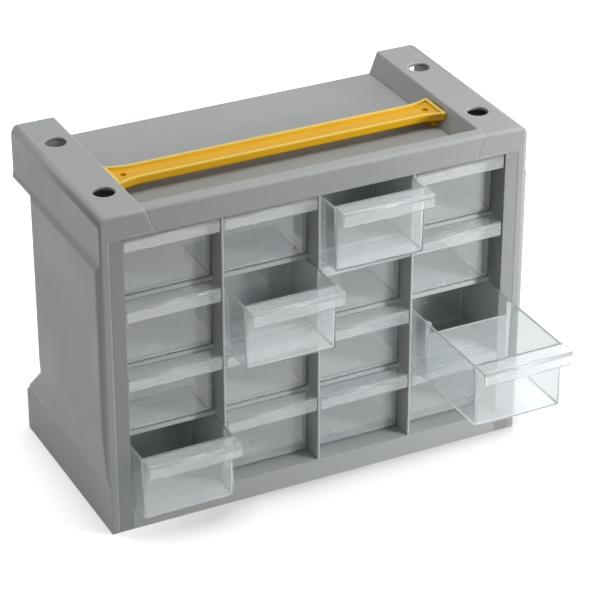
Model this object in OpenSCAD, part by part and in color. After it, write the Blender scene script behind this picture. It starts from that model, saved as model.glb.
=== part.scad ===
// Parts bin cabinet: sixteen clear drawers in a grey moulded cabinet, with stacking rails and a lift-up
// carrying handle. Millimetres, +Z up. The drawers open towards -Y. The origin is on the standing
// surface, in the middle of the cabinet's width and depth.

/* [Cabinet] */
// Width across the front face, without the swell of the sides
body_w = 310; // [280:1:380]
// Depth from the front face to the back of the feet
body_d = 154; // [125:1:200]
// Height to the top of the stacking rails
body_h = 235; // [185:1:290]
// Wall of the grey mouldings
wall = 2.4; // [2:0.1:3]

/* [Front frame] */
// Width of each stile, from the outer edge to the drawer field
stile_w = 16.2; // [13:0.1:24]
// Part of the stile that is the edge of the end cheek
cheek_edge = 6.5; // [5:0.1:9]
// Height of the bottom rail
base_h = 15.5; // [12:0.1:24]
// Depth of the raised lip at the front of the top
lip_d = 10.5; // [8:0.1:16]
// Radius along the front top edge
front_r = 2.2; // [1:0.1:2.4]

/* [Top recess] */
// Depth of the recess between the stacking rails
recess_h = 15.5; // [13:0.1:22]
// Thickness of the top deck
deck_t = 2; // [1.6:0.1:3]
// Width of each stacking rail at its top
rail_w = 32; // [28:0.5:40]
// How much wider the rail is at its foot
rail_slope = 6; // [2:0.5:8]
// Radius along the outer edge of the rail's top
rail_r = 6; // [1:0.5:6]

/* [Stacking holes] */
// Diameter of the holes
hole_dia = 15; // [8:0.5:18]
// Distance from the cabinet's side to a hole's centre
hole_inset = 18.5; // [14:0.5:20]
// Distance from the front face to the front holes
hole_front = 35; // [25:1:40]
// Distance from the front holes to the rear holes
hole_pitch = 82; // [50:1:90]

/* [End cheeks] */
// How far the side swells out below the rail
swell = 2.4; // [1.6:0.1:3]
// Upper end of the swell, measured down from the top
swell_top = 37; // [26:1:45]
// Height of the slope that leads out to the swell
swell_slope = 5; // [3:0.5:9]
// Height below which the swell draws in
swell_low = 76; // [60:1:90]
// How far it has drawn in above the bottom band's step
draw_in = 1.5; // [0.5:0.1:1.6]
// Height of the step
step_h = 6; // [2:0.5:10]
// Height of the bottom band
foot_band = 36; // [25:1:45]
// How much further in the bottom band stands than the rail
foot_in = 1.2; // [0:0.1:2]
// Depth of the notch at the back of the cheek
notch_d = 40; // [20:1:50]
// Height of the upright back of the foot
foot_h = 30; // [20:1:45]
// Height at which the sloping back of the foot reaches the notch
foot_slope_h = 66; // [50:1:90]
// Height of the rear ear, measured down from the top
ear_h = 35; // [30:1:45]
// Radius of the upright front corners
front_corner_r = 4.5; // [2:0.1:6]
// Radius of the upright rear corners
rear_corner_r = 9; // [2:0.1:10]
// Radius of the cheek's outer corners, seen from the side
side_corner_r = 3; // [1:0.1:6]
// Radius of the inner corners of the notch, seen from the side
notch_r = 4; // [1:0.1:8]

/* [Base] */
// Height of the ribs under the floor
base_rib_h = 5; // [2:0.5:10]
// Thickness of the ribs under the floor and on the back panel
rib_t = 2; // [1.2:0.1:3]
// Diameter of the foot in the middle of the base
foot_dia = 16; // [10:0.5:30]

/* [Grid] */
// Thickness of the shelves and partitions
grid_t = 1.6; // [1.2:0.1:2.4]
// Distance from the front face to the edge of the partitions
partition_set = 1; // [0.5:0.1:4]
// Thickness of the back panel
back_t = 2.2; // [1.6:0.1:3]
// Distance from the back panel to the back of the housing
back_set = 1.8; // [1:0.1:4]
// Height of the ribs on the back panel
back_rib_h = 1; // [0.5:0.1:1.8]
// Height of the stop rib below each shelf
stop_h = 1.6; // [1:0.1:2]

/* [Drawers] */
// Depth of the grip ledge in front of the drawer's front panel
ledge_d = 13; // [10:0.1:18]
// Height of the grip lip
grip_h = 9.5; // [6:0.1:14]
// Wall of the clear drawers
drawer_wall = 1.4; // [1:0.1:2]
// Taper of each side wall, from its top to its bottom
drawer_draft = 0.8; // [0:0.1:1.5]
// Radius along a drawer's bottom edges and upright corners
drawer_r = 3; // [1.5:0.1:5]
// Free length behind a closed drawer
drawer_back_gap = 4; // [2:0.5:10]
// Thickness of the clear dividers
divider_t = 1.2; // [1:0.1:1.6]
// How far a divider's top lies below the rim of its drawer
divider_low = 9; // [4:1:15]

/* [Handle] */
// Width of the handle's bar
bar_w = 20; // [16:0.5:26]
// Width of the handle's flared ends
pad_w = 30; // [22:0.5:34]
// Length of each flare
flare_l = 20; // [12:0.5:30]
// Radius of the corners of the flared ends
pad_r = 3; // [1:0.1:6]
// Thickness of the handle
bar_t = 5; // [4:0.1:6]
// How far the handle lies below the rail tops
bar_set = 4; // [2:0.1:6]
// Distance from the front face to the middle of the handle
bar_v = 63; // [50:1:90]

/* [Pulled out] */
// Top row, third drawer
open_r1c3 = 31; // [0:1:120]
// Second row, second drawer
open_r2c2 = 41; // [0:1:120]
// Third row, fourth drawer
open_r3c4 = 97; // [0:1:120]
// Bottom row, first drawer
open_r4c1 = 30; // [0:1:120]

/* [Hidden] */

$fn = 48;
GREY = [0.60, 0.61, 0.60];
LINER = [0.55, 0.56, 0.56];
YELLOW = [0.87, 0.66, 0.13];
CLEAR = [0.80, 0.86, 0.90, 0.45];
eps = 0.01;          // overlap of a cutting tool past a face
cut = 1;             // reach of a cutting tool past a free face

// Clearances
fit = 0.2;           // slot or groove over the plate that sits in it
run_gap = 0.3;       // under and over a drawer as it runs
ledge_gap = 0.5;     // between a grip ledge and the cell round it
side_gap = 0.7;      // between a drawer's side and the cell
stop_gap = 0.6;      // between a drawer's front panel and the shelf edge
seat_gap = 0.3;      // round a divider in its drawer

// Drawer field
columns = 4;
rows = 4;
half_w = body_w / 2;
y_front = -body_d / 2;
field_w = body_w - 2 * stile_w;
deck_z = body_h - recess_h;
field_low = base_h;
field_top = deck_z - deck_t;
cell_w = (field_w - (columns - 1) * grid_t) / columns;
cell_h = (field_top - field_low - (rows - 1) * grid_t) / rows;
back_v = body_d - back_set - back_t;
groove = wall / 2;
shelf_v = ledge_d + drawer_wall + stop_gap;
lap_v = (shelf_v + back_v) / 2;
cheek_t = stile_w - wall;

function cell_x(c) = -field_w / 2 + cell_w / 2 + c * (cell_w + grid_t);
function cell_z(r) = field_low + (rows - 1 - r) * (cell_h + grid_t);
function shelf_z(i) = cell_z(i) - grid_t;            // underside of the shelf below row i
function partition_x(i) = cell_x(i) + cell_w / 2;    // left face of the partition right of column i

// Drawer
drawer_l = back_v - drawer_back_gap;
drawer_h = cell_h - run_gap - ledge_gap;
side_h = cell_h - stop_h - 2 * run_gap;
ledge_w = cell_w - 2 * ledge_gap;
drawer_top_w = cell_w - 2 * side_gap;
grip_t = 1.5;
ledge_r = 2;
tab_w = 22;
guide_w = 1;
divider_v = (ledge_d + drawer_l) / 2;

// Handle: each end has a foot that turns out through a notch in the rail, and a head behind the wall
bar_top = body_h - bar_set;
bar_z = bar_top - bar_t;
rim = 2.4;
rim_h = 1.4;
foot_t = 3;
lug_t = 2.5;
lug_z = deck_z + run_gap;
slot_high = bar_top - run_gap;
lug_w = 14;
head_w = 20;
head_gap = 1;        // between the handle's head and the ribs beside it
end_gap = 0.8;       // between the handle's end and the rail beside it
rail_foot = rail_w + rail_slope;
rail_mid = body_h - recess_h / 2;

function rail_u(z) = rail_foot - rail_slope * (z - deck_z) / recess_h;   // rail's inner face at a height

bar_half = half_w - rail_u(bar_top) - end_gap;

// ---------- helpers ----------

// A box from one corner to the other
module block(a, b) {
    translate(a) cube(b - a);
}

// A vertical outline, drawn in X and Z, as a wall that runs from y0 to y1
module along_y(y0, y1) {
    translate([0, y1, 0]) rotate([90, 0, 0]) linear_extrude(y1 - y0) children();
}

// An outline drawn in Y and Z, as a bar that runs from x0 to x1
module along_x(x0, x1) {
    translate([x0, 0, 0]) rotate([90, 0, 90]) linear_extrude(x1 - x0) children();
}

// Parts of a rounded corner p between its neighbours a and b: direction, angle, run and centre of the arc
function aim(a, b) = (b - a) / norm(b - a);
function corner_angle(a, p, b) = acos(aim(p, a) * aim(p, b));
function corner_run(a, p, b, r) = r / tan(corner_angle(a, p, b) / 2);
function arc_centre(a, p, b, r) =
    let (d = aim(p, a) + aim(p, b)) p + d / norm(d) * r / sin(corner_angle(a, p, b) / 2);

// Outline through the points p, anticlockwise, with an arc of radius r[i] at corner i
module rounded(p, r) {
    n = len(p);
    difference() {
        union() {
            polygon([for (i = [0 : n - 1])
                let (a = p[(i + n - 1) % n], b = p[(i + 1) % n], run = corner_run(a, p[i], b, r[i]))
                each r[i] > 0 ? [p[i] + run * aim(p[i], a), p[i] + run * aim(p[i], b)] : [p[i]]]);
            corner_discs(p, r, 1);
        }
        corner_discs(p, r, -1);
    }
}

// The discs that round the outer corners (way 1) or the inner corners (way -1)
module corner_discs(p, r, way) {
    n = len(p);
    for (i = [0 : n - 1]) {
        a = p[(i + n - 1) % n];
        b = p[(i + 1) % n];
        if (r[i] > 0 && way * cross(p[i] - a, b - p[i]) > 0)
            translate(arc_centre(a, p[i], b, r[i])) circle(r[i]);
    }
}

// Rectangle from one corner to the other, with the four corners rounded: near, near, far, far
module plate(a, b, r) {
    rounded([a, [b[0], a[1]], b, [a[0], b[1]]], r);
}

// What is taken off along the front top edge to round it
module front_edge_tool() {
    translate([-half_w - swell - cut, y_front, body_h - front_r])
        difference() {
            translate([0, -cut, 0]) cube([body_w + 2 * (swell + cut), front_r + cut, front_r + cut]);
            translate([-cut, front_r, 0]) rotate([0, 90, 0]) cylinder(r = front_r, h = 2 * body_w);
        }
}

// ---------- end cheeks ----------

// Side view of the cheek, drawn as depth and height; t sets it in from the outline
module cheek_side(t) {
    slope = atan2(foot_slope_h - foot_h, notch_d);
    sink = t / cos(slope);
    fall = (foot_slope_h - foot_h) / notch_d * t;
    r_out = max(side_corner_r - t, 0.4);
    r_in = notch_r + t;
    rounded([[t, t], [body_d - t, t],
        [body_d - t, foot_h - sink + fall],
        [body_d - notch_d - t, foot_slope_h - sink + fall],
        [body_d - notch_d - t, body_h - ear_h + t],
        [body_d - t, body_h - ear_h + t],
        [body_d - t, body_h - t], [t, body_h - t]],
        [0, r_out, r_out, r_in, r_in, r_out, 0, 0]);
}

// Front view of the cheek's upright part, drawn as distance in from the side and height; t is the wall
// left outside it
module cheek_front(t) {
    polygon([[t + foot_in, -cut], [t + foot_in, foot_band], [t - swell + draw_in, foot_band + step_h],
        [t - swell, swell_low], [t - swell, body_h - swell_top], [t, body_h - swell_top + swell_slope],
        [t, rail_mid], [cheek_t, rail_mid], [cheek_t, -cut]]);
}

// Front view of the rail on top of the cheek, between two heights, t in from its faces
module rail_front(t, low, high) {
    rounded([[t, low], [rail_u(low) - t, low], [rail_u(high) - t, high], [t, high]],
        [0, 0, 0, max(rail_r - t, 0.4)]);
}

// Left cheek, with u = 0 at the side of the cabinet
module cheek_shell() {
    difference() {
        intersection() {
            union() {
                along_y(0, body_d) rail_front(0, deck_z, body_h);
                along_y(0, body_d) cheek_front(0);
            }
            along_x(-swell - cut, rail_foot + cut) cheek_side(0);
            translate([-swell, 0, 0]) linear_extrude(body_h)
                plate([0, 0], [rail_foot + swell + cut, body_d], [front_corner_r, 0, 0, rear_corner_r]);
        }
        // hollow of the upright part, open towards the housing
        intersection() {
            along_y(wall, body_d) cheek_front(wall);
            along_x(-swell, rail_foot) cheek_side(wall);
        }
        // hollow of the rail and the ear, open at the back
        along_y(wall, body_d + cut) rail_front(wall, deck_z - eps, body_h - wall);
        block([wall, body_d - 2 * wall, body_h - ear_h + wall], [cheek_t + cut, body_d + cut, rail_mid]);
        // seat of the housing's stile
        block([cheek_edge, -cut, -cut], [cheek_t + cut, wall, field_top]);
        for (v = [hole_front, hole_front + hole_pitch])
            translate([hole_inset, v, body_h - wall - cut]) cylinder(d = hole_dia, h = wall + 2 * cut);
        // notch for the handle's foot
        block([rail_w - 2 * wall, bar_v - lug_w / 2 - run_gap, deck_z - cut],
            [rail_foot + cut, bar_v + lug_w / 2 + run_gap, slot_high]);
    }
    // ribs that stiffen the rail on both sides of the handle's head
    for (v = [bar_v - head_w / 2 - head_gap - rib_t, bar_v + head_w / 2 + head_gap])
        along_y(v, v + rib_t) rail_front(wall / 2, deck_z, body_h - wall / 2);
}

module left_cheek() {
    color(GREY) difference() {
        translate([-half_w, y_front, 0]) cheek_shell();
        front_edge_tool();
    }
}

module right_cheek() {
    color(GREY) mirror([1, 0, 0]) difference() {
        translate([-half_w, y_front, 0]) cheek_shell();
        front_edge_tool();
    }
}

// ---------- housing ----------

// Left side wall with its stile at the front and the grooves that hold the shelves
module side_wall() {
    x_in = -field_w / 2;
    color(LINER) translate([0, y_front, 0]) difference() {
        union() {
            block([x_in - wall, 0, 0], [x_in, body_d, field_top]);
            block([-half_w + cheek_edge, 0, 0], [x_in, wall, field_top]);
        }
        for (i = [0 : rows - 2])
            block([x_in - groove, shelf_v - fit / 2, shelf_z(i) - fit / 2],
                [x_in + cut, back_v, shelf_z(i) + grid_t + fit / 2]);
    }
}

module left_side_wall() {
    side_wall();
}

module right_side_wall() {
    mirror([1, 0, 0]) side_wall();
}

// Deck between the rails, with the raised lip at the front and the stop rib for the top row
module top_deck() {
    x_out = field_w / 2 + wall;
    lip_low = half_w - rail_foot;
    lip_high = half_w - rail_w;
    color(GREY) difference() {
        translate([0, y_front, 0]) {
            difference() {
                union() {
                    block([-x_out, 0, field_top], [x_out, body_d, deck_z]);
                    along_y(0, lip_d) polygon([[-lip_low, field_top], [lip_low, field_top], [lip_low, deck_z],
                        [lip_high, body_h], [-lip_high, body_h], [-lip_low, deck_z]]);
                }
                block([-lip_low + wall, wall, field_top - cut],
                    [lip_low - wall, lip_d - wall, body_h - wall]);
            }
            for (c = [0 : columns - 1]) stop_rib(c, field_top);
        }
        front_edge_tool();
    }
}

// Rib that a drawer's rear tab meets when the drawer is fully out
module stop_rib(c, z) {
    translate([cell_x(c), shelf_v, z])
        block([-cell_w / 2 + fit, 0, -stop_h], [cell_w / 2 - fit, grid_t, eps]);
}

// Base: an open tray, upside down, with the front rail, low ribs under the floor and a foot in the middle
module base() {
    x_out = field_w / 2;
    rib_low = field_low - deck_t - base_rib_h;
    inner_r = 2 * wall;
    color(LINER) translate([0, y_front, 0]) {
        difference() {
            block([-x_out, 0, 0], [x_out, body_d, field_low]);
            translate([0, 0, -cut]) linear_extrude(field_low - deck_t + cut)
                plate([-x_out + wall, wall], [x_out - wall, body_d - wall],
                    [inner_r, inner_r, inner_r, inner_r]);
        }
        for (k = [1 : 5])
            translate([-x_out + k * field_w / 6, 0, 0])
                block([-rib_t / 2, wall / 2, rib_low], [rib_t / 2, body_d - wall / 2, field_low - eps]);
        for (k = [1 : 3])
            translate([0, k * body_d / 4, 0])
                block([-x_out + wall / 2, -rib_t / 2, rib_low],
                    [x_out - wall / 2, rib_t / 2, field_low - eps]);
        translate([0, body_d / 2, 0]) cylinder(d = foot_dia, h = field_low - eps);
    }
}

// Panel that closes the back of the cells, with a rib behind each partition and shelf
module back_panel() {
    face = back_v + back_t;
    color(LINER) translate([0, y_front, 0]) {
        block([-field_w / 2, back_v, field_low], [field_w / 2, face, field_top]);
        for (p = [0 : columns - 2])
            translate([partition_x(p) + grid_t / 2, 0, 0])
                block([-rib_t / 2, face - eps, field_low], [rib_t / 2, face + back_rib_h, field_top]);
        for (i = [0 : rows - 2])
            translate([0, 0, shelf_z(i) + grid_t / 2])
                block([-field_w / 2, face - eps, -rib_t / 2], [field_w / 2, face + back_rib_h, rib_t / 2]);
    }
}

// Full-width shelf, slotted from its front edge to cross the partitions
module shelf(i) {
    half = field_w / 2 + groove - fit / 2;
    color(LINER) translate([0, y_front, shelf_z(i)]) difference() {
        union() {
            block([-half, shelf_v, 0], [half, back_v, grid_t]);
            for (c = [0 : columns - 1]) stop_rib(c, 0);
        }
        for (p = [0 : columns - 2])
            block([partition_x(p) - fit / 2, shelf_v - cut, -cut],
                [partition_x(p) + grid_t + fit / 2, lap_v, grid_t + cut]);
    }
}

// Full-height partition, slotted from its rear edge to cross the shelves
module partition(p) {
    color(LINER) translate([partition_x(p), y_front, 0]) difference() {
        block([0, partition_set, field_low], [grid_t, back_v, field_top]);
        for (i = [0 : rows - 2])
            block([-cut, lap_v, shelf_z(i) - fit / 2],
                [grid_t + cut, back_v + cut, shelf_z(i) + grid_t + fit / 2]);
    }
}

// ---------- drawers ----------

// The drawer's box, set in by t from its outer faces: front view, side view and plan, each with round corners
module drawer_form(t) {
    r = max(drawer_r - t, 0.4);
    top = drawer_top_w / 2 - t;
    low = top - drawer_draft;
    high = side_h + (t > 0 ? cut : 0);
    intersection() {
        along_y(ledge_d + t, drawer_l - t)
            rounded([[-low, t], [low, t], [top, high], [-top, high]], [r, r, 0, 0]);
        along_x(-drawer_top_w, drawer_top_w) plate([ledge_d + t, t], [drawer_l - t, high], [r, r, 0, 0]);
        linear_extrude(high + cut) drawer_plan(t);
    }
}

module drawer_plan(t) {
    r = max(drawer_r - t, 0.4);
    top = drawer_top_w / 2 - t;
    plate([-top, ledge_d + t], [top, drawer_l - t], [r, r, r, r]);
}

// Grip ledge: a plate that turns down into the lip, with round front corners
module grip_ledge() {
    low = drawer_h - grip_h;
    under = drawer_h - grip_t;
    back = ledge_d + drawer_wall;
    intersection() {
        along_x(-ledge_w / 2, ledge_w / 2)
            rounded(
                [[0, low], [grip_t, low], [grip_t, under], [back, under], [back, drawer_h], [0, drawer_h]],
                [grip_t / 3, grip_t / 3, 1, 0, 0, grip_t]);
        linear_extrude(drawer_h) plate([-ledge_w / 2, 0], [ledge_w / 2, back], [ledge_r, ledge_r, 0, 0]);
    }
}

module drawer_body() {
    difference() {
        drawer_form(0);
        drawer_form(drawer_wall);
    }
    grip_ledge();
    // front panel, carried up to the ledge
    intersection() {
        linear_extrude(drawer_h) drawer_plan(0);
        block([-drawer_top_w, ledge_d, side_h - grip_t], [drawer_top_w, ledge_d + drawer_wall, drawer_h]);
    }
    // tab that meets the stop rib
    block([-tab_w / 2, drawer_l - drawer_wall, side_h - eps], [tab_w / 2, drawer_l, drawer_h]);
    // guides for a divider
    intersection() {
        drawer_form(0);
        for (s = [-1, 1], k = [-1, 1])
            translate([s * drawer_top_w / 2, divider_v + k * (divider_t + fit + guide_w) / 2, side_h / 2])
                cube([2 * (drawer_wall + drawer_draft + guide_w), guide_w, side_h], center = true);
    }
}

module drawer(r, c, out = 0) {
    color(CLEAR) translate([cell_x(c), y_front - out, cell_z(r) + run_gap]) drawer_body();
}

// Clear plate that stands between the guides
module divider(r, c, out) {
    z = drawer_wall + seat_gap;
    half = drawer_top_w / 2 - drawer_draft - drawer_wall - seat_gap;
    color(CLEAR) translate([cell_x(c), y_front - out + divider_v, cell_z(r) + run_gap])
        along_y(-divider_t / 2, divider_t / 2)
            plate([-half, z], [half, side_h - divider_low], [drawer_r, drawer_r, drawer_r / 2, drawer_r / 2]);
}

// ---------- handle ----------

// Outline of the handle from above, set in by t: the bar runs out into each flared end on an arc
module handle_plan(t) {
    end = [bar_half - t, pad_w / 2 - t];
    f = bar_half - flare_l;
    step = (pad_w - bar_w) / 2;
    arc = (flare_l * flare_l + step * step) / (2 * step);
    r = max(pad_r - t, 0.4);
    difference() {
        plate(-end, end, [r, r, r, r]);
        for (s = [-1, 1]) {
            translate([-f, s > 0 ? bar_w / 2 - t : -pad_w / 2 - cut]) square([2 * f, step + t + cut]);
            for (q = [-1, 1]) translate([q * f, s * (bar_w / 2 + arc)]) circle(arc + t);
        }
    }
}

module carry_handle() {
    foot_x = half_w - rail_u(lug_z) - end_gap - foot_t;
    head_x = half_w - rail_u(slot_high) + wall + end_gap;
    end_x = half_w - rail_u(bar_z) - end_gap;
    spot_x = bar_half - 9;
    color(YELLOW) translate([0, y_front + bar_v, 0]) {
        difference() {
            intersection() {
                translate([0, 0, bar_z]) linear_extrude(bar_t) handle_plan(0);
                along_y(-pad_w, pad_w)
                    polygon([[-end_x, bar_z], [end_x, bar_z], [bar_half, bar_top], [-bar_half, bar_top]]);
            }
            translate([0, 0, bar_top - rim_h]) linear_extrude(rim_h + cut) handle_plan(rim);
            for (s = [-1, 1])
                translate([s * spot_x, 0, bar_z + 1.5]) cylinder(d = 4.5, h = bar_t);
        }
        for (s = [0, 1]) mirror([s, 0, 0]) {
            block([foot_x, -lug_w / 2, lug_z], [foot_x + foot_t, lug_w / 2, bar_z + eps]);
            block([foot_x, -lug_w / 2, lug_z], [head_x, lug_w / 2, lug_z + lug_t]);
            block([head_x, -head_w / 2, lug_z], [head_x + foot_t, head_w / 2, lug_z + lug_t]);
        }
    }
}

// ---------- assembly ----------

left_cheek();
right_cheek();
left_side_wall();
right_side_wall();
top_deck();
base();
back_panel();
shelf(0);  // shelf_1
shelf(1);  // shelf_2
shelf(2);  // shelf_3
partition(0);  // partition_1
partition(1);  // partition_2
partition(2);  // partition_3
carry_handle();
drawer(0, 0);  // drawer_r1c1
drawer(0, 1);  // drawer_r1c2
drawer(0, 2, open_r1c3);  // drawer_r1c3
drawer(0, 3);  // drawer_r1c4
drawer(1, 0);  // drawer_r2c1
drawer(1, 1, open_r2c2);  // drawer_r2c2
drawer(1, 2);  // drawer_r2c3
drawer(1, 3);  // drawer_r2c4
drawer(2, 0);  // drawer_r3c1
drawer(2, 1);  // drawer_r3c2
drawer(2, 2);  // drawer_r3c3
drawer(2, 3, open_r3c4);  // drawer_r3c4
drawer(3, 0, open_r4c1);  // drawer_r4c1
drawer(3, 1);  // drawer_r4c2
drawer(3, 2);  // drawer_r4c3
drawer(3, 3);  // drawer_r4c4
divider(0, 2, open_r1c3);  // divider_r1c3
divider(1, 1, open_r2c2);  // divider_r2c2
divider(2, 3, open_r3c4);  // divider_r3c4
divider(3, 0, open_r4c1);  // divider_r4c1
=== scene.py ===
"""Parts bin cabinet: sixteen clear drawers in a grey moulded cabinet with a yellow carrying handle."""
import math

import bpy
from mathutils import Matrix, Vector


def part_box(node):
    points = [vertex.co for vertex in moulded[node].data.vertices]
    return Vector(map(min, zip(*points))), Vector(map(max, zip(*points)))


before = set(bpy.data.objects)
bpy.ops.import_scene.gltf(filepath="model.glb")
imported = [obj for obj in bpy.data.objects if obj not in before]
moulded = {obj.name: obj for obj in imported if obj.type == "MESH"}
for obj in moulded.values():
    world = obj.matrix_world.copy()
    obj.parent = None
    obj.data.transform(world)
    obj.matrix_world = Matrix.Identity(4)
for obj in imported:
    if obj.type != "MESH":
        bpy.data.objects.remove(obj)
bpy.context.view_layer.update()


# ---------- camera ----------
# A long lens, high on the left of the cabinet's front, looks down on the top and the left cheek. It
# stands about 1.8 m away, so the uprights draw together only slightly.

PICTURE_PX, FOCAL_PX, SENSOR_MM = 600, 2600.0, 36.0
TURNED, TIPPED = math.radians(26.52), math.radians(28.98)

lens = bpy.data.cameras.new("studio_camera")
lens.sensor_width = SENSOR_MM
lens.lens = FOCAL_PX / PICTURE_PX * SENSOR_MM
lens.clip_start, lens.clip_end = 0.05, 40.0
camera = bpy.data.objects.new("studio_camera", lens)
camera.location = (-0.6839, -1.4177, 0.9739)
camera.rotation_euler = (math.pi / 2 - TIPPED, 0.0, -TURNED)
scene = bpy.context.scene
scene.collection.objects.link(camera)
scene.camera = camera
scene.view_settings.view_transform = "Standard"


# ---------- surround ----------
# An even white backdrop all round. It is seen and mirrored as full white, but it lights the cabinet
# with only a quarter of that, so that the lamps bring out its shapes.

def add(tree, kind, inputs=None, **settings):
    """A shader node with its settings, its plain input values and the sockets that feed it."""
    made = tree.nodes.new("ShaderNode" + kind)
    for name, value in settings.items():
        setattr(made, name, value)
    for name, value in (inputs or {}).items():
        if isinstance(value, bpy.types.NodeSocket):
            tree.links.new(value, made.inputs[name])
        else:
            made.inputs[name].default_value = value
    return made


def combine(tree, operation, *values, clamp=False):
    """The result of one step of arithmetic on sockets and numbers."""
    return add(tree, "Math", dict(enumerate(values)), operation=operation, use_clamp=clamp).outputs[0]


def remap(tree, value, source, target=(0.0, 1.0), **settings):
    """A value carried from one range over to another, and held within it."""
    return add(tree, "MapRange", {"Value": value, "From Min": source[0], "From Max": source[1],
                                  "To Min": target[0], "To Max": target[1]}, **settings).outputs[0]


def seen_directly(tree):
    """1 for rays from the camera and those that glossy or clear surfaces send on, 0 for light."""
    rays = add(tree, "LightPath").outputs
    either = combine(tree, "MAXIMUM", rays["Is Camera Ray"], rays["Is Glossy Ray"])
    return combine(tree, "MAXIMUM", either, rays["Is Transmission Ray"])


WHITE = (1.0, 1.0, 1.0, 1.0)
SURROUND_LIGHT = 0.26

surround = bpy.data.worlds.new("white_surround")
surround.use_nodes = True
air = surround.node_tree
air.nodes.clear()
light_cast = add(air, "Background", {"Color": WHITE, "Strength": SURROUND_LIGHT})
backdrop = add(air, "Background", {"Color": WHITE, "Strength": 1.0})
seen_or_cast = add(air, "MixShader", {0: seen_directly(air), 1: light_cast.outputs[0],
                                      2: backdrop.outputs[0]})
add(air, "OutputWorld", {"Surface": seen_or_cast.outputs[0]})
scene.world = surround


# ---------- floor ----------
# White paper that runs out of sight. Its glow carries painted shade: a wide soft one in front of the cabinet
# on the right, and a narrow dark one where the cabinet touches it, fainter on the left.

def bare_material(name):
    """A new material with nothing in it yet, and its node tree."""
    made = bpy.data.materials.new(name)
    made.use_nodes = True
    made.node_tree.nodes.clear()
    return made, made.node_tree


FLOOR_HALF = 6.0
PAPER_GREY = (0.60, 0.60, 0.60, 1.0)
SHADE_SPOT, SHADE_REACH, SHADE_SHARE = (0.15, -0.12, 0.0), (0.15, 0.5), (0.55, 1.0)
CONTACT_REACH, CONTACT_SKY = 0.03, (0.5, 0.97)
LEFT_TO_RIGHT, CONTACT_SHARE = (-0.18, -0.02), (0.85, 0.15)

paper, sheet = bare_material("white_paper")
spot = add(sheet, "TexCoord").outputs["Object"]
# Painted shade: the white glow is weaker near SHADE_SPOT.
away = add(sheet, "VectorMath", {0: spot, 1: SHADE_SPOT}, operation="DISTANCE").outputs["Value"]
glow_share_with_painted_shade = remap(sheet, away, SHADE_REACH, SHADE_SHARE, interpolation_type="SMOOTHSTEP")
across = add(sheet, "SeparateXYZ", {0: spot}).outputs["X"]
darkest_painted_contact = remap(sheet, across, LEFT_TO_RIGHT, CONTACT_SHARE)
# Painted contact shadow: the glow dims where ambient occlusion finds the cabinet close, less so on the left.
open_sky = add(sheet, "AmbientOcclusion", {"Distance": CONTACT_REACH}).outputs["AO"]
painted_contact_shade = remap(sheet, open_sky, CONTACT_SKY, (darkest_painted_contact, 1.0))
seen = combine(sheet, "MULTIPLY", seen_directly(sheet), glow_share_with_painted_shade)
matt = add(sheet, "BsdfDiffuse", {"Color": PAPER_GREY})
glow = add(sheet, "Emission", {"Color": WHITE, "Strength": combine(sheet, "MULTIPLY", seen, painted_contact_shade)})
lit_paper = add(sheet, "AddShader", {0: matt.outputs[0], 1: glow.outputs[0]})
add(sheet, "OutputMaterial", {"Surface": lit_paper.outputs[0]})

floor_mesh = bpy.data.meshes.new("floor")
floor_mesh.from_pydata([(-FLOOR_HALF, -FLOOR_HALF, 0), (FLOOR_HALF, -FLOOR_HALF, 0),
                        (FLOOR_HALF, FLOOR_HALF, 0), (-FLOOR_HALF, FLOOR_HALF, 0)], [], [(0, 1, 2, 3)])
floor_mesh.materials.append(paper)
floor = bpy.data.objects.new("floor", floor_mesh)
scene.collection.objects.link(floor)


# ---------- lamps ----------
# A wide soft lamp hangs overhead, and a weaker one behind on the left. A small one at the front right
# lights the drawers. Nothing mirrors it, so it leaves no glare on the deck.

def soft_lamp(name, place, aim, size, power, beam=180.0, mirrored=True):
    """A square area lamp that points from place to aim, with a beam of so many degrees."""
    lamp = bpy.data.lights.new(name, "AREA")
    lamp.shape, lamp.size, lamp.energy = "SQUARE", size, power
    lamp.spread = math.radians(beam)
    hung = bpy.data.objects.new(name, lamp)
    hung.location = place
    hung.rotation_euler = (Vector(aim) - Vector(place)).to_track_quat("-Z", "Y").to_euler()
    hung.visible_glossy = mirrored
    scene.collection.objects.link(hung)


soft_lamp("overhead_lamp", place=(0.35, -0.15, 1.4), aim=(0.0, 0.0, 0.15), size=0.8, power=9.3)
soft_lamp("front_lamp", place=(0.60, -0.66, 0.40), aim=(0.14, -0.08, 0.12), size=0.12, power=0.64,
          beam=60.0, mirrored=False)
soft_lamp("rear_left_lamp", place=(-1.0, 1.2, 1.1), aim=(-0.1, 0.0, 0.1), size=0.6, power=4.6)


# ---------- end cheeks and deck ----------
# Two hollow cheeks with stacking rails close the ends, and the deck with its raised front lip lies
# between them. All three are injection moulded in one grey plastic with a fine spark-eroded grain.
# Handling has rubbed and polished the edges. A painted highlight lightens them along their whole length.

def mix(tree, share, first, second):
    """A colour that goes from the first to the second as the share grows; sockets 6 and 7 hold them."""
    return add(tree, "Mix", {0: share, 6: first, 7: second}, data_type="RGBA").outputs[2]


def shader_group(name, inputs, outputs):
    """An empty shader group and its inner ends: the numbers that come in and what goes out."""
    tree = bpy.data.node_groups.new(name, "ShaderNodeTree")
    for label, value in inputs.items():
        tree.interface.new_socket(label, in_out="INPUT", socket_type="NodeSocketFloat").default_value = value
    for label, kind in outputs.items():
        tree.interface.new_socket(label, in_out="OUTPUT", socket_type="NodeSocket" + kind)
    return tree, tree.nodes.new("NodeGroupInput").outputs, tree.nodes.new("NodeGroupOutput").inputs


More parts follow.
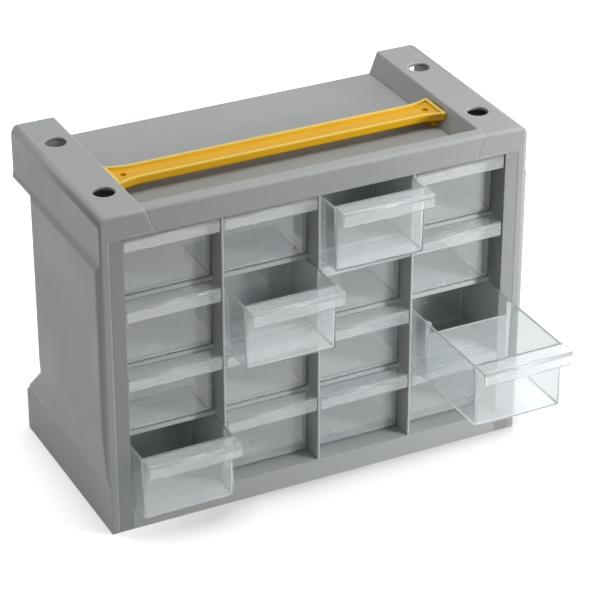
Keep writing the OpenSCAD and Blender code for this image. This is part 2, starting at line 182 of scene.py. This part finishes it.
def edge_wear_and_highlight_group():
    """Rounded normal along edges, a mask of those edges for polish and painted highlights, and that mask
    broken up by noise into patches.
    """
    tree, given, out = shader_group("edge_wear_and_highlight", {"Radius": 0.001, "Breakup": 260.0},
                                    {"Mask": "Float", "Edge": "Float", "Normal": "Vector"})
    flat_to_sharp, broken_up = (0.995, 0.80), (0.35, 0.62)
    rounded = add(tree, "Bevel", {"Radius": given["Radius"]}, samples=6).outputs[0]
    plain = add(tree, "NewGeometry").outputs["Normal"]
    match = add(tree, "VectorMath", {0: rounded, 1: plain}, operation="DOT_PRODUCT").outputs["Value"]
    edge = remap(tree, match, flat_to_sharp)
    local = add(tree, "TexCoord").outputs["Object"]
    patches = add(tree, "TexNoise", {"Vector": local, "Scale": given["Breakup"], "Detail": 3.0})
    kept = remap(tree, patches.outputs["Fac"], broken_up)
    tree.links.new(combine(tree, "MULTIPLY", edge, kept), out["Mask"])
    tree.links.new(edge, out["Edge"])
    tree.links.new(rounded, out["Normal"])
    return tree


def moulded_grain_group():
    """Height of a spark-eroded mould face, slow clouds of sinking plastic, and sparse fine scuffs."""
    tree, given, out = shader_group("moulded_grain", {"Grain": 2600.0, "Waves": 22.0},
                                    {"Height": "Float", "Cloud": "Float", "Scuffs": "Float"})
    hair_width, rubbed_places = (0.66, 0.72), (0.5, 0.62)
    turned, drawn_out = (0.3, 0.2, 0.6), (60.0, 900.0, 500.0)
    local = add(tree, "TexCoord").outputs["Object"]
    pits = add(tree, "TexVoronoi", {"Vector": local, "Scale": given["Grain"]}, feature="SMOOTH_F1")
    fine = add(tree, "TexNoise", {"Vector": local, "Scale": given["Grain"], "Detail": 2.0})
    waves = add(tree, "TexNoise", {"Vector": local, "Scale": given["Waves"], "Detail": 2.0}).outputs["Fac"]
    stroke = add(tree, "Mapping", {"Vector": local, "Rotation": turned, "Scale": drawn_out}).outputs[0]
    hairs = add(tree, "TexNoise", {"Vector": stroke, "Scale": 1.0, "Detail": 1.0})
    thin = remap(tree, hairs.outputs["Fac"], hair_width)
    rubbed = remap(tree, waves, rubbed_places)
    tree.links.new(combine(tree, "ADD", pits.outputs["Distance"], fine.outputs["Fac"]), out["Height"])
    tree.links.new(waves, out["Cloud"])
    tree.links.new(combine(tree, "MULTIPLY", thin, rubbed), out["Scuffs"])
    return tree


edge_wear_and_highlight = edge_wear_and_highlight_group()
moulded_grain = moulded_grain_group()


def grained_face(tree, colour, roughness, grain, wear_and_highlight, depth, shine):
    """The face of an opaque moulding: colour and gloss over its grain and its rounded edges."""
    bump = add(tree, "Bump", {"Height": grain["Height"], "Normal": wear_and_highlight["Normal"], "Strength": 0.35,
                              "Distance": depth})
    face = add(tree, "BsdfPrincipled", {"Base Color": colour, "Roughness": roughness, "IOR": 1.5,
                                        "Specular IOR Level": shine, "Normal": bump.outputs[0]})
    add(tree, "OutputMaterial", {"Surface": face.outputs[0]})


SUNK_TONE = (0.93, 0.93, 0.93)
PAINTED_EDGE_HIGHLIGHT, SCUFF_SHARE = 0.5, 0.2
GLOSS_DRIFT, EDGE_POLISH = 0.05, 0.20
CLOUD_RANGE = (0.3, 0.7)


def toned(colour, tone):
    """The colour with each of its three parts brought down by its own share."""
    return tuple(part * share for part, share in zip(colour, tone)) + (1.0,)


def moulded_plastic(name, colour, worn_and_highlight, roughness, grain_depth, edge_radius):
    """Opaque moulded plastic: cloudy colour, edges rubbed paler in patches, a painted highlight along every
    edge, fine scuffs and grain.
    """
    made, tree = bare_material(name)
    grain = add(tree, "Group", node_tree=moulded_grain).outputs
    wear_and_highlight = add(tree, "Group", {"Radius": edge_radius}, node_tree=edge_wear_and_highlight).outputs
    tint = mix(tree, grain["Cloud"], toned(colour, SUNK_TONE), colour)
    patchy = mix(tree, wear_and_highlight["Mask"], tint, worn_and_highlight)
    # Painted highlight: half of the paler colour along every edge, rubbed or not.
    lighter = mix(tree, combine(tree, "MULTIPLY", wear_and_highlight["Edge"], PAINTED_EDGE_HIGHLIGHT), patchy, worn_and_highlight)
    marked = mix(tree, combine(tree, "MULTIPLY", grain["Scuffs"], SCUFF_SHARE), lighter, worn_and_highlight)
    gloss = remap(tree, grain["Cloud"], CLOUD_RANGE, (roughness - GLOSS_DRIFT, roughness + GLOSS_DRIFT))
    polished = combine(tree, "MULTIPLY_ADD", wear_and_highlight["Edge"], -EDGE_POLISH, gloss)
    grained_face(tree, marked, polished, grain, wear_and_highlight, grain_depth, shine=0.4)
    return made


JOINED_FACES, JOINED_CORNERS = 0.00005, 0.0001
FLAT_WITHIN, SHARP_FROM = math.radians(0.4), math.radians(28)


def finish_node(node, material, edge_radius=0.0, steps=2):
    """Gives a moulding its material, joins its faces and breaks its sharp edges where a radius is given."""
    piece = moulded[node]
    piece.data.materials.clear()
    piece.data.materials.append(material)
    weld = piece.modifiers.new("joined_faces", "WELD")
    weld.merge_threshold = JOINED_CORNERS if edge_radius else JOINED_FACES
    if not edge_radius:
        return
    flat = piece.modifiers.new("flat_faces", "DECIMATE")
    flat.decimate_type, flat.angle_limit = "DISSOLVE", FLAT_WITHIN
    bevel = piece.modifiers.new("broken_edges", "BEVEL")
    bevel.width, bevel.segments = edge_radius, steps
    bevel.limit_method, bevel.angle_limit = "ANGLE", SHARP_FROM
    bevel.harden_normals = True


grey_cheek = moulded_plastic("grey_cheek", colour=(0.370, 0.386, 0.380, 1.0), worn_and_highlight=(0.64, 0.66, 0.65, 1.0),
                             roughness=0.48, grain_depth=0.00006, edge_radius=0.0020)
for node in ("left_cheek", "right_cheek"):
    finish_node(node, grey_cheek)
finish_node("top_deck", grey_cheek, edge_radius=0.0005, steps=3)


# ---------- side walls ----------
# Flat mouldings that line the drawer field inside the cheeks, each with the inner part of a front
# stile. Grooves in them hold the ends of the shelves. Theirs is the darkest of the four greys: darker
# than the cheeks as painted shade on the front stiles.

grey_liner = moulded_plastic("grey_liner", colour=(0.315, 0.330, 0.324, 1.0), worn_and_highlight=(0.48, 0.50, 0.49, 1.0),
                             roughness=0.50, grain_depth=0.00005, edge_radius=0.0006)
for node in ("left_side_wall", "right_side_wall"):
    finish_node(node, grey_liner, edge_radius=0.0004)


# ---------- base ----------
# An open tray with low ribs underneath, moulded in a lighter grey than the cheeks. Its top is the floor
# of the bottom row, and its front edge is the bottom rail.

grey_base = moulded_plastic("grey_base", colour=(0.420, 0.438, 0.434, 1.0), worn_and_highlight=(0.54, 0.56, 0.55, 1.0),
                            roughness=0.48, grain_depth=0.00005, edge_radius=0.0006)
finish_node("base", grey_base, edge_radius=0.0004)


# ---------- shelves, partitions and back panel ----------
# Thin flat mouldings in the lightest grey, lighter than the cheeks as painted light in the cells seen
# through the drawers. The shelves and partitions are slotted half way and pushed into each other to make
# the sixteen cells, and the ribbed back panel closes them.

grey_grid = moulded_plastic("grey_grid", colour=(0.530, 0.550, 0.548, 1.0), worn_and_highlight=(0.62, 0.64, 0.63, 1.0),
                            roughness=0.46, grain_depth=0.00005, edge_radius=0.0006)
for node in ("back_panel", "shelf_1", "shelf_2", "shelf_3", "partition_1", "partition_2", "partition_3"):
    finish_node(node, grey_grid, edge_radius=0.0003)


# ---------- handle ----------
# A yellow bar with raised rims and flared ends, moulded in a tough, slightly glossy plastic. Its two
# feet run in slots in the cheeks' rails.

handle_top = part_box("carry_handle")[1].z
rim_foot, rim_edge = handle_top - 0.0011, handle_top - 0.0002
DEEPER_TONE = (0.93, 0.88, 1.0)
WORN_SHARE, RIM_POLISH = 0.4, 0.1


def raised_rims_group():
    """Mask of the rims on the bar, from their height: a painted highlight makes them paler than the channel
    between them.
    """
    tree, given, out = shader_group("raised_rims", {"Foot": rim_foot, "Edge": rim_edge}, {"Mask": "Float"})
    height = add(tree, "SeparateXYZ", {0: add(tree, "TexCoord").outputs["Object"]}).outputs["Z"]
    tree.links.new(remap(tree, height, (given["Foot"], given["Edge"])), out["Mask"])
    return tree


def handle_plastic(channel, rim_highlight, roughness):
    """Tough yellow plastic with cloudy tone and edges rubbed in patches, and a painted highlight that makes
    the rims paler than the channel and the sides.
    """
    made, tree = bare_material("yellow_handle")
    grain = add(tree, "Group", {"Waves": 40.0}, node_tree=moulded_grain).outputs
    wear_and_highlight = add(tree, "Group", {"Radius": 0.0008}, node_tree=edge_wear_and_highlight).outputs
    raised = add(tree, "Group", node_tree=raised_rims_group()).outputs["Mask"]
    tint = mix(tree, grain["Cloud"], toned(channel, DEEPER_TONE), channel)
    # Rubbed patches on the edges, and a painted highlight over the whole rims.
    rubbed = combine(tree, "MULTIPLY_ADD", wear_and_highlight["Mask"], WORN_SHARE, raised, clamp=True)
    gloss = remap(tree, rubbed, (0.0, 1.0), (roughness, roughness - RIM_POLISH))
    grained_face(tree, mix(tree, rubbed, tint, rim_highlight), gloss, grain, wear_and_highlight, depth=0.00003, shine=0.27)
    return made


yellow = handle_plastic(channel=(0.78, 0.425, 0.004, 1.0), rim_highlight=(0.84, 0.60, 0.085, 1.0), roughness=0.40)
finish_node("carry_handle", yellow)


# ---------- drawers and dividers ----------
# Thin-walled boxes with a grip ledge, moulded in clear polystyrene and polished inside and out. The
# four that are pulled out have a divider of the same plastic, a flat plate that drops between guides.

EDGE_FROST, SCUFF_FROST = 0.5, 0.25
COAT_FLAT, COAT_EDGE = 0.3, 0.7
PASSING_TINT = (0.958, 0.966, 0.970, 1.0)


def clear_plastic(name, colour, roughness):
    """Clear plastic that lets lamps and soft light through to what lies behind it, with a painted highlight
    that whitens its edges.
    """
    made, tree = bare_material(name)
    wear_and_highlight = add(tree, "Group", {"Radius": 0.0011}, node_tree=edge_wear_and_highlight).outputs
    grain = add(tree, "Group", {"Grain": 900.0, "Waves": 35.0}, node_tree=moulded_grain).outputs
    # Painted highlight: the edges are whitened in the base colour.
    tint = mix(tree, wear_and_highlight["Edge"], colour, WHITE)
    frost = combine(tree, "MULTIPLY_ADD", wear_and_highlight["Edge"], EDGE_FROST, roughness)
    rubbed = combine(tree, "MULTIPLY_ADD", grain["Scuffs"], SCUFF_FROST, frost)
    coat = combine(tree, "MULTIPLY_ADD", wear_and_highlight["Edge"], COAT_EDGE, COAT_FLAT)
    bump = add(tree, "Bump", {"Height": grain["Cloud"], "Normal": wear_and_highlight["Normal"], "Strength": 0.15,
                              "Distance": 0.0008})
    body = add(tree, "BsdfPrincipled", {"Base Color": tint, "Roughness": rubbed, "IOR": 1.58,
                                        "Transmission Weight": 0.85, "Coat Weight": coat,
                                        "Normal": bump.outputs[0]})
    passing = add(tree, "BsdfTransparent", {"Color": PASSING_TINT})
    rays = add(tree, "LightPath").outputs
    light_only = combine(tree, "MAXIMUM", rays["Is Shadow Ray"], rays["Is Diffuse Ray"])
    seen_or_passing = add(tree, "MixShader", {0: light_only, 1: body.outputs[0], 2: passing.outputs[0]})
    add(tree, "OutputMaterial", {"Surface": seen_or_passing.outputs[0]})
    return made


clear = clear_plastic("clear_drawer", colour=(0.960, 0.986, 0.998, 1.0), roughness=0.045)
for node in moulded:
    if node.startswith("drawer_"):
        finish_node(node, clear)
    elif node.startswith("divider_"):
        finish_node(node, clear, edge_radius=0.0003)
